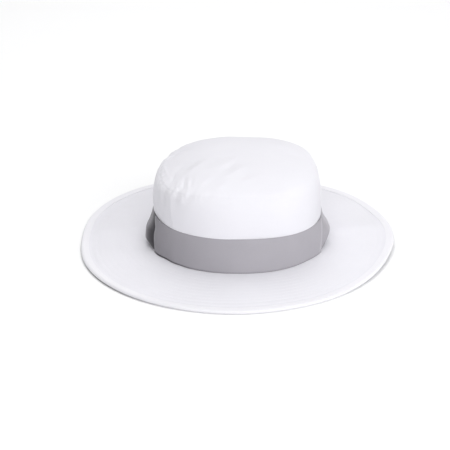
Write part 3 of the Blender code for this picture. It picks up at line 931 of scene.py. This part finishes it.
@dataclass
class Crown:
    """The crown: a side wall and a domed tip, joined by a puckered, topstitched seam."""

    form: HatForm
    cloth: CrownCloth
    cotton: bpy.types.Material
    thickness: float = 0.0015
    columns: int = 400
    coarse_rows: int = 34
    seam_rows: int = 18
    tip_rows: int = 44
    overlap: float = 0.0006
    lap: float = 0.00010

    def wall_levels(self) -> np.ndarray:
        """Return the levels of the wall's rows, close together near the seam."""
        low = np.linspace(0.0, 0.86, self.coarse_rows, endpoint=False)
        return np.concatenate([low, np.linspace(0.86, 1.0, self.seam_rows)])

    def tip_levels(self) -> np.ndarray:
        """Return the levels of the tip's rows, close together near the seam."""
        share = np.linspace(0.0, 1.0, self.tip_rows)
        start = 1.0 - self.overlap / self.form.wall_height
        return start + (1.982 - start) * (0.30 * share + 0.70 * share ** 2)

    def make_wall(self) -> bpy.types.Object:
        """Model the side wall."""
        levels = self.wall_levels()
        piece = Tailor.ring_sheet("crown_wall_cloth", self.columns, len(levels))
        start = Tailor.read(piece)
        azimuth = np.degrees(np.arctan2(start[:, 1], start[:, 0])) % 360.0
        level = levels[np.rint(start[:, 2]).astype(int)]
        Tailor.write(piece, self.cloth.points(azimuth, level))
        girth = math.pi * (self.form.crown_width + self.form.crown_depth) / 2
        Tailor.chart(piece, azimuth / 360.0 * girth, level * self.form.wall_height, girth)
        Tailor.face_towards(piece, self.form.crown_normal(azimuth, level))
        Tailor.thicken(piece, self.thickness)
        piece.data.materials.append(self.cotton)
        return piece

    def make_tip(self) -> bpy.types.Object:
        """Model the domed top panel."""
        levels = self.tip_levels()
        piece = Tailor.ring_sheet("crown_tip_cloth", self.columns, len(levels))
        start = Tailor.read(piece)
        azimuth = np.degrees(np.arctan2(start[:, 1], start[:, 0])) % 360.0
        level = levels[np.rint(start[:, 2]).astype(int)]
        Tailor.close_last_row(piece, len(levels) - 1)
        points = self.cloth.points(azimuth, level)
        lift = self.lap * hump(self.cloth.seam.distance(level), 5.0 * MM)
        points += self.form.crown_normal(azimuth, level) * lift[:, None]
        last = points[level == levels[-1]]
        Tailor.write(piece, np.vstack([points, last.mean(axis=0)[None]]))
        shaped = Tailor.read(piece)
        Tailor.chart(piece, shaped[:, 0], shaped[:, 1])
        Tailor.face_towards(piece, np.tile([0.0, 0.0, 1.0], (len(shaped), 1)))
        Tailor.thicken(piece, self.thickness)
        piece.data.materials.append(self.cotton)
        return piece

    def make_stitching(self, thread: ThreadFinish) -> bpy.types.Object:
        """Sew the two rows of topstitching beside the tip seam."""
        azimuth = np.linspace(0.0, 360.0, 720, endpoint=False)
        above = 1.0 + self.cloth.seam.topstitch / (self.form.crown_width / 2 * self.form.wall_reaches[-1])
        below = 1.0 - self.cloth.seam.topstitch / (self.form.wall_height * 1.25)
        runs = []
        for level in (above, below):
            rows = np.full_like(azimuth, level)
            runs.append(StitchRun(self.cloth.points(azimuth, rows), self.form.crown_normal(azimuth, rows)))
        return Stitching("tip_seam_stitches", thread).sew(runs)

    def build(self, thread: ThreadFinish) -> None:
        """Model, dress and place the crown."""
        for piece, nodes in (
            (self.make_wall(), ["crown_wall"]),
            (self.make_tip(), ["crown_tip"]),
            (self.make_stitching(thread), []),
        ):
            place(piece, Slot.COTTON, nodes)


@dataclass
class Brim:
    """The brim: two plies stitched together in rings, with a bound edge."""

    form: HatForm
    cotton: bpy.types.Material
    edging: bpy.types.Material
    thickness: float = 0.0020
    edge_thickness: float = 0.0012
    columns: int = 480
    first_row: float = 0.0102
    row_spacing: float = 0.0058
    row_count: int = 10
    groove: float = 0.00006
    binding_width: float = 0.0065
    binding_cloth: float = 0.0010
    binding_ply: float = 0.0005
    pressed: float = 0.00045
    soft: Crumple = Crumple(seed=7, wavelength=0.070)
    small: Crumple = Crumple(seed=8, wavelength=0.014)

    def row_distances(self) -> np.ndarray:
        """Return how far in from the edge each ring of stitches lies."""
        return self.first_row + self.row_spacing * np.arange(self.row_count)

    def shares(self) -> np.ndarray:
        """Return the shares of the reach where the brim has a ring of vertices."""
        distances = {0.0, 0.0015, 0.003, 0.0048, self.form.reach, self.form.reach - 0.002}
        for row in self.row_distances():
            for step in (-1.6, -0.8, 0.0, 0.8, 1.6):
                distances.add(round(float(row) + step * MM, 6))
        inside = sorted(distance for distance in distances if 0.0 <= distance <= self.form.reach)
        return 1.0 - np.array(inside[::-1]) / self.form.reach

    def relief(self, azimuth: np.ndarray, share: np.ndarray, place: np.ndarray) -> np.ndarray:
        """Return the height of the stitch grooves and the cloth's unevenness."""
        inward = (1.0 - share) * self.form.reach
        relief = np.zeros(place.shape[:-1])
        for index, row in enumerate(self.row_distances()):
            drawn_in = self.groove * (2.4 if index < 2 else 1.0)
            relief -= drawn_in * hump(inward - row, 1.0 * MM)
        fade = np.clip(inward / 0.012, 0.0, 1.0) * np.clip(share / 0.15, 0.0, 1.0)
        relief += 0.50 * MM * self.soft.at(place) * fade
        relief += 0.05 * MM * self.small.at(place)
        return relief

    def top(self, azimuth: np.ndarray, share: np.ndarray) -> np.ndarray:
        """Return points of the finished upper side."""
        points = self.form.brim_top(azimuth, share)
        points[..., 2] += self.relief(azimuth, share, points)
        return points

    def depth(self, share: np.ndarray) -> np.ndarray:
        """Return the thickness of the two plies, which thin towards the edge."""
        return self.thickness + share ** 4 * (self.edge_thickness - self.thickness)

    def make_cloth(self) -> bpy.types.Object:
        """Model the brim's closed body: over the top, round the edge and back underneath."""
        shares = self.shares()
        rows = len(shares)
        piece = Tailor.ring_sheet("brim_cloth", self.columns, 2 * rows)
        start = Tailor.read(piece)
        azimuth = np.degrees(np.arctan2(start[:, 1], start[:, 0])) % 360.0
        row = np.rint(start[:, 2]).astype(int)
        under = row >= rows
        share = shares[np.where(under, 2 * rows - 1 - row, row)]
        points = self.top(azimuth, share)
        points[..., 2] -= np.where(under, self.depth(share), 0.0)
        inner = (row == 0) | (row == 2 * rows - 1)
        foot = self.form.crown(azimuth, 0.0)
        towards_middle = unit(foot * np.array([1.0, 1.0, 0.0])) * self.thickness * 0.75
        points[inner] -= towards_middle[inner]
        Tailor.write(piece, points)
        girth = math.pi * (self.form.crown_width + self.form.reach)
        Tailor.chart(piece, azimuth / 360.0 * girth, share * self.form.reach, girth)
        self.close_inner_edge(piece)
        piece.data.materials.append(self.cotton)
        return piece

    @staticmethod
    def close_inner_edge(piece: bpy.types.Object) -> None:
        """Bridge the two open rings at the head opening and point all faces outward."""
        Tailor.begin()
        piece.select_set(True)
        bpy.context.view_layer.objects.active = piece
        bpy.ops.object.mode_set(mode="EDIT")
        bpy.ops.mesh.select_mode(type="EDGE")
        bpy.ops.mesh.select_all(action="DESELECT")
        bpy.ops.mesh.select_non_manifold(extend=False, use_boundary=True, use_wire=False,
                                         use_multi_face=False, use_non_contiguous=False, use_verts=False)
        bpy.ops.mesh.bridge_edge_loops()
        bpy.ops.mesh.select_all(action="SELECT")
        bpy.ops.mesh.normals_make_consistent(inside=False)
        bpy.ops.object.mode_set(mode="OBJECT")
        bpy.ops.object.shade_smooth_by_angle(angle=math.radians(50.0))

    def make_binding(self) -> bpy.types.Object:
        """Model the strip folded round the brim's edge."""
        straight, nose = 12, 13
        rows = 2 * straight + nose
        piece = Tailor.ring_sheet("brim_binding_cloth", self.columns, rows)
        start = Tailor.read(piece)
        azimuth = np.degrees(np.arctan2(start[:, 1], start[:, 0])) % 360.0
        row = np.rint(start[:, 2]).astype(int)
        points, path = self.binding_points(azimuth, row, straight, nose)
        Tailor.write(piece, points)
        girth = math.pi * (self.form.crown_width + 2 * self.form.reach)
        Tailor.chart(piece, azimuth / 360.0 * girth, path, girth)
        outward = self.form.outward(azimuth)
        outward[row < straight] = (0.0, 0.0, 1.0)
        outward[row >= straight + nose] = (0.0, 0.0, -1.0)
        Tailor.face_towards(piece, outward)
        Tailor.thicken(piece, self.binding_ply)
        piece.data.materials.append(self.edging)
        return piece

    def binding_points(self, azimuth: np.ndarray, row: np.ndarray, straight: int,
                       nose: int) -> tuple[np.ndarray, np.ndarray]:
        """Return the outside of the binding and the distance along its width.

        Args:
            azimuth: where each vertex lies round the hat.
            row: the vertex's row, from the binding's upper inner edge round to the lower one.
            straight: how many rows lie on top, and as many below.
            nose: how many rows go round the edge.

        Returns:
            The points, and how far along the strip's width each lies.
        """
        out = self.form.outward(azimuth)
        up = np.array([0.0, 0.0, 1.0])
        stack = self.form.gap + self.binding_cloth
        edge = self.form.brim_top(azimuth, np.ones_like(azimuth))
        middle = edge - up * self.edge_thickness / 2
        radius = self.edge_thickness / 2 + stack
        inward = np.where(row < straight, 1.0 - row / straight, 0.0)
        beneath = np.where(row >= straight + nose, (row - straight - nose + 1) / straight, 0.0)
        share = 1.0 - np.maximum(inward, beneath) * self.binding_width / self.form.reach
        top = self.top(azimuth, share)
        lift = self.binding_lift(np.maximum(inward, beneath)) + 0.06 * MM * self.pucker(azimuth) * inward
        angle = math.pi / 2 - math.pi * np.clip((row - straight) / (nose - 1), 0.0, 1.0)
        round_edge = middle + out * (np.cos(angle) * radius * 0.9 + self.form.gap)[:, None]
        round_edge = round_edge + up * (np.sin(angle) * radius)[:, None]
        over = top + up * lift[:, None]
        low = top - up * (self.depth(share) + self.binding_lift(beneath))[:, None]
        low[:, 2] = np.maximum(low[:, 2], self.form.edge_lift(azimuth))
        points = np.where((row < straight)[:, None], over, round_edge)
        points = np.where((row >= straight + nose)[:, None], low, points)
        path = row / (2 * straight + nose) * (2 * self.binding_width + math.pi * radius)
        return points, path

    def binding_lift(self, inward: np.ndarray) -> np.ndarray:
        """Return how far the binding's outside lies off the brim: 0 at the edge, 1 at its seam."""
        stack = self.form.gap + self.binding_cloth
        return stack - (stack - self.pressed) * inward ** 1.2

    @staticmethod
    def pucker(azimuth: np.ndarray) -> np.ndarray:
        """Return the small waves that the sewing leaves along the binding."""
        turns = np.radians(azimuth)
        return (np.sin(turns * 151.0) + np.sin(turns * 97.0 + 1.3) + np.sin(turns * 211.0 + 0.4)) / 2.0

    def make_stitching(self, thread: ThreadFinish) -> list[bpy.types.Object]:
        """Sew the rings of stitches through the brim, on its upper side and underneath."""
        azimuth = np.linspace(0.0, 360.0, 960, endpoint=False)
        up = np.tile([0.0, 0.0, 1.0], (len(azimuth), 1))
        over, under = [], []
        for row in self.row_distances():
            share = np.full_like(azimuth, 1.0 - row / self.form.reach)
            points = self.top(azimuth, share)
            over.append(StitchRun(points, up))
            below = points.copy()
            below[:, 2] -= self.depth(share)
            under.append(StitchRun(below, -up))
        return [Stitching("brim_upper_stitches", thread).sew(over),
                Stitching("brim_under_stitches", thread).sew(under)]

    def make_binding_stitching(self, thread: ThreadFinish) -> bpy.types.Object:
        """Sew the line that holds the binding, near its inner edge."""
        azimuth = np.linspace(0.0, 360.0, 1200, endpoint=False)
        inward = 1.0 - 1.3 * MM / self.binding_width
        share = np.full_like(azimuth, 1.0 - inward * self.binding_width / self.form.reach)
        points = self.top(azimuth, share)
        points[:, 2] += self.binding_lift(inward)
        up = np.tile([0.0, 0.0, 1.0], (len(azimuth), 1))
        return Stitching("binding_stitches", thread, pitch=0.0027, length=0.0020).sew([StitchRun(points, up)])

    def build(self, thread: ThreadFinish) -> None:
        """Model, dress and place the brim."""
        for piece, nodes in (
            (self.make_cloth(), ["brim"]),
            (self.make_binding(), ["brim_binding"]),
            (self.make_binding_stitching(thread), []),
        ):
            place(piece, Slot.COTTON, nodes)
        for piece in self.make_stitching(thread):
            place(piece, Slot.COTTON, [])


@dataclass
class Band:
    """The grey band: a front panel with folded ends and a back strip that bows out beside them."""

    form: HatForm
    twill: bpy.types.Material
    height: float = 0.0367
    dip_right: float = 0.0047
    cloth: float = 0.0012
    ply: float = 0.0006
    turn_under: float = 0.0060
    foot_left: float = 27.0
    top_left: float = 19.5
    belly_left: float = 3.4
    foot_right: float = 27.0
    top_right: float = 17.0
    reach_back: float = 7.0
    tuck: float = 7.0
    bow_left: float = 0.0080
    bow_right: float = 0.0084
    rows: int = 30
    front_columns: int = 300
    back_columns: int = 380
    bow_levels: tuple = (0.0, 0.25, 0.50, 0.65, 0.80, 1.0)
    bows_left: tuple = (0.30, 1.00, 0.98, 0.70, 0.40, 0.05)
    bows_right: tuple = (0.20, 0.70, 1.00, 0.84, 0.26, 0.02)
    soft: Crumple = Crumple(seed=21, wavelength=0.030)

    def end(self, side: Side, level: np.ndarray) -> np.ndarray:
        """Return the azimuths of the front panel's folded end at levels up the band."""
        if side is Side.LEFT:
            belly = self.belly_left * hump(level - 0.74, 0.20)
            return 180.0 + self.foot_left + level * (self.top_left - self.foot_left) + belly
        return 360.0 - (self.foot_right + level * (self.top_right - self.foot_right))

    def point(self, azimuth: np.ndarray, level: np.ndarray, offset: np.ndarray) -> np.ndarray:
        """Return points at a distance outside the crown wall, which the upper edge hugs.

        Args:
            azimuth: where the points lie round the hat.
            level: how far up the band they lie, 0 to 1.
            offset: how far outside the wall they would lie at the foot.

        Returns:
            The points.
        """
        dip = self.dip_right * np.maximum(0.0, np.cos(np.radians(turn(azimuth, -10.0)))) ** 3
        climb = level * (self.height - dip) / self.form.wall_height
        normal = self.form.crown_normal(azimuth, climb) * np.array([1.0, 1.0, 0.0])
        return self.form.crown(azimuth, climb) + unit(normal) * (offset * (1.0 - 0.64 * level ** 4))[..., None]

    def front_offset(self, from_end: np.ndarray) -> np.ndarray:
        """Return how far the front panel's outside stands off the wall, degrees in from its end."""
        flat, stacked = self.form.gap + self.cloth, 3 * (self.form.gap + self.cloth)
        rise = np.maximum(0.0, 1.0 - from_end / 16.0)
        return flat + (stacked - flat) * (1.0 - (1.0 - rise) ** 2 * (1.0 + 2.0 * rise))

    def make_front(self) -> bpy.types.Object:
        """Model the front panel with its two ends turned under."""
        piece = Tailor.strip_sheet("band_front_ribbon", self.front_columns, self.rows)
        start = Tailor.read(piece)
        share, level = start[:, 0], start[:, 1]
        left, right = self.end(Side.LEFT, level), self.end(Side.RIGHT, level)
        under = math.degrees(self.turn_under / (self.form.crown_width / 2))
        hidden = 2 * (self.form.gap + self.cloth)
        fold_share, loop_share = 0.06, 0.03
        from_side = np.minimum(share, 1.0 - share)
        on_left = share < 0.5
        turned = np.clip(from_side / fold_share, 0.0, 1.0)
        looped = np.clip((from_side - fold_share) / loop_share, 0.0, 1.0)
        out_share = fold_share + loop_share
        across = np.clip((share - out_share) / (1.0 - 2 * out_share), 0.0, 1.0)
        azimuth = left + (right - left) * across
        radius = (self.front_offset(np.zeros(1))[0] - hidden) / 2
        swing = math.degrees(radius / (self.form.crown_width / 2)) * np.sin(math.pi * looped) * 1.3
        edge = np.where(on_left, left - swing + under * (1.0 - turned), right + swing - under * (1.0 - turned))
        in_fold = from_side < out_share
        azimuth = np.where(in_fold, edge, azimuth)
        from_end = np.minimum(azimuth - left, right - azimuth)
        loop_offset = hidden + radius * (1.0 - np.cos(math.pi * looped))
        offset = np.where(in_fold, loop_offset, self.front_offset(np.maximum(from_end, 0.0)))
        points = self.point(azimuth, level, offset)
        ripple = 0.34 * MM * np.sin(np.radians(turn(azimuth, 221.0)) * 26.0) * hump(turn(azimuth, 221.0), 17.0)
        sway = 0.10 * MM * self.soft.at(points)
        outward = unit(points * np.array([1.0, 1.0, 0.0]))
        free = np.clip(from_end / 6.0, 0.0, 1.0) * (1.0 - 0.6 * level)
        points += outward * ((ripple + sway) * free)[:, None]
        return self.finish_strip(piece, points, azimuth, level, outward)

    def marks(self, azimuth: np.ndarray, level: np.ndarray) -> dict[str, np.ndarray]:
        """Return, at its vertices, the painted shade of the pleats' recesses and of the band's left side, the
        painted hem shadow and the painted highlights.
        """
        behind_left = self.end(Side.LEFT, level) - azimuth % 360.0
        behind_right = azimuth % 360.0 - self.end(Side.RIGHT, level)
        behind_right = np.where(behind_right < -180.0, behind_right + 360.0, behind_right)
        # Painted shade: darker in the pleats' recesses behind the folded ends and over the band's left side, which
        # faces away from the light.
        in_left = np.where(behind_left > 0.0, 0.90 * hump(behind_left - 2.0, 9.0), 0.0)
        in_right = np.where(behind_right > 0.0, 0.10 * hump(behind_right - 4.0, 4.0), 0.0)
        shaded_side = 0.40 * hump(turn(azimuth, 192.0), 33.0) + 0.05 * hump(turn(azimuth, 250.0), 25.0)
        # Painted highlights: paler along the folded ends' edges and over the right bow, where the light falls.
        painted_lighting = 0.10 * hump(behind_left + 0.8, 0.8) + 0.34 * hump(behind_right + 1.4, 0.9)
        painted_lighting += np.where(behind_right > 0.0, 0.36 * hump(behind_right - 17.0, 10.0), 0.0)
        # Painted contact shadow along the band's lower edge, strongest at the left of the front.
        hem_shadow = 0.15 + 0.85 * hump(turn(azimuth, 212.0), 28.0)
        return {"Depth": np.maximum(in_left, np.maximum(in_right, shaded_side)), "HemShadow": hem_shadow, "PaintedHighlight": painted_lighting}

    def bow_span(self, side: Side, level: np.ndarray) -> np.ndarray:
        """Return the degrees over which the back strip bows out."""
        return np.abs(turn(self.end(side, level), side.value)) + self.reach_back

    def make_back(self) -> bpy.types.Object:
        """Model the strip round the back, tucked under the panel at both ends."""
        piece = Tailor.strip_sheet("band_back_ribbon", self.back_columns, self.rows)
        start = Tailor.read(piece)
        share, level = start[:, 0], start[:, 1]
        right, left = self.end(Side.RIGHT, level) - 360.0, self.end(Side.LEFT, level)
        spread = share + 0.085 * np.sin(2 * math.pi * share)
        azimuth = (right - self.tuck) + (left - right + 2 * self.tuck) * spread
        bow = np.zeros_like(share)
        for side, behind, shares, size in (
            (Side.RIGHT, azimuth - right, self.bows_right, self.bow_right),
            (Side.LEFT, left - azimuth, self.bows_left, self.bow_left),
        ):
            along = np.clip(behind / self.bow_span(side, level), 0.0, 1.0)
            wave = np.maximum(0.0, np.sin(math.pi * along ** 0.62)) ** 1.2
            bow += size * through_points(self.bow_levels, shares, level) * wave
        points = self.point(azimuth, level, self.form.gap + self.cloth + bow)
        outward = unit(points * np.array([1.0, 1.0, 0.0]))
        free = np.clip(np.minimum(azimuth - right, left - azimuth) / 8.0, 0.0, 1.0)
        points += outward * (0.10 * MM * self.soft.at(points) * free)[:, None]
        return self.finish_strip(piece, points, azimuth, level, outward)

    def finish_strip(self, piece: bpy.types.Object, points: np.ndarray, azimuth: np.ndarray,
                     level: np.ndarray, outward: np.ndarray) -> bpy.types.Object:
        """Shape a strip, chart it, give it its cloth and its finish."""
        Tailor.write(piece, points)
        girth = math.pi * (self.form.crown_width + self.form.crown_depth) / 2
        Tailor.chart(piece, azimuth / 360.0 * girth, level * self.height)
        for name, values in self.marks(azimuth, level).items():
            Tailor.carry(piece, name, values)
        Tailor.face_towards(piece, outward)
        Tailor.thicken(piece, self.ply)
        piece.data.materials.append(self.twill)
        return piece

    def build(self) -> None:
        """Model, dress and place the band."""
        place(self.make_front(), Slot.TWILL, ["band_front"])
        place(self.make_back(), Slot.TWILL, ["band_back"])


class Softbox(NamedTuple):
    """A studio light: its direction from the hat in degrees and its strength."""

    name: str
    azimuth: float
    elevation: float
    strength: float


SOFTBOXES = (
    Softbox("right_front", -45.0, 20.0, 0.290),
    Softbox("right_front_high", -45.0, 40.0, 0.063),
    Softbox("front", -90.0, 30.0, 0.343),
    Softbox("right", 0.0, 25.0, 0.048),
    Softbox("overhead", 0.0, 90.0, 0.275),
    Softbox("back_high", 90.0, 55.0, 0.364),
    Softbox("left_high", 180.0, 50.0, 0.035),
)


@dataclass(frozen=True)
class Studio:
    """The camera at the photo's angle, soft lights and a pale floor."""

    elevation: float = 24.8
    distance: float = 1.52
    pixels_per_metre: float = 925.0
    frame_pixels: float = 450.0
    sensor: float = 36.0
    right_pixels: float = 12.4
    down_pixels: float = 14.8
    floor_size: float = 14.0
    world_strength: float = 0.325
    light_distance: float = 2.2
    light_size: float = 1.6

    def add_camera(self) -> None:
        """Add the camera, level and square to the front of the hat."""
        tilt = math.radians(self.elevation)
        forward = Vector((0.0, math.cos(tilt), -math.sin(tilt)))
        up = Vector((0.0, math.sin(tilt), math.cos(tilt)))
        right = Vector((1.0, 0.0, 0.0))
        aim = (up * self.down_pixels - right * self.right_pixels) / self.pixels_per_metre
        data = bpy.data.cameras.new("camera")
        data.sensor_width = self.sensor
        data.lens = self.sensor * self.pixels_per_metre * self.distance / self.frame_pixels
        camera = bpy.data.objects.new("camera", data)
        camera.location = aim - forward * self.distance
        camera.rotation_euler = (math.pi / 2 - tilt, 0.0, 0.0)
        bpy.context.scene.collection.objects.link(camera)
        bpy.context.scene.camera = camera

    def add_light(self, softbox: Softbox) -> None:
        """Add a square area light that faces the hat."""
        around, climb = math.radians(softbox.azimuth), math.radians(softbox.elevation)
        towards = Vector((math.cos(around) * math.cos(climb), math.sin(around) * math.cos(climb), math.sin(climb)))
        data = bpy.data.lights.new(softbox.name, "AREA")
        data.size = self.light_size
        data.energy = softbox.strength * (math.pi * self.light_distance) ** 2
        light = bpy.data.objects.new(softbox.name, data)
        light.location = towards * self.light_distance
        aim = Vector((0.0, 0.0, 0.04)) - light.location
        light.rotation_euler = aim.to_track_quat("-Z", "Y").to_euler()
        bpy.context.scene.collection.objects.link(light)

    def add_floor(self) -> None:
        """Add the floor under the brim."""
        Tailor.begin()
        bpy.ops.mesh.primitive_plane_add(size=self.floor_size)
        floor = bpy.context.object
        floor.name = "floor"
        floor.data.materials.append(FloorFinish().make())

    def build(self) -> None:
        """Set up the studio."""
        world = bpy.data.worlds.new("studio")
        bpy.context.scene.world = world
        world.use_nodes = True
        back = world.node_tree.nodes["Background"]
        back.inputs["Color"].default_value = (1.0, 1.0, 1.0, 1.0)
        back.inputs["Strength"].default_value = self.world_strength
        bpy.context.scene.view_settings.view_transform = "Standard"
        self.add_camera()
        for softbox in SOFTBOXES:
            self.add_light(softbox)
        self.add_floor()


def place(piece: bpy.types.Object, slot: Slot, nodes: list[str]) -> None:
    """Tie a finished piece to the hat's body and hide the nodes it stands for."""
    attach(piece, BODY)
    if nodes:
        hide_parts(*nodes)
    LOG.info("%s: %d faces", piece.name, len(piece.data.polygons))


def main() -> None:
    """Build the studio and the hat, piece by piece."""
    logging.basicConfig(level=logging.INFO, format="%(name)s %(message)s")
    form = HatForm()
    cotton, edging = CottonFinish().make(), EdgingFinish().make()
    thread = ThreadFinish("white_thread", (0.86, 0.86, 0.88, 1.0), (0.76, 0.76, 0.79, 1.0))
    Studio().build()
    Crown(form, CrownCloth(form, TipSeam(form)), cotton).build(thread)
    Brim(form, cotton, edging).build(thread)
    Band(form, TwillFinish().make()).build()


if __name__ == "__main__":
    main()
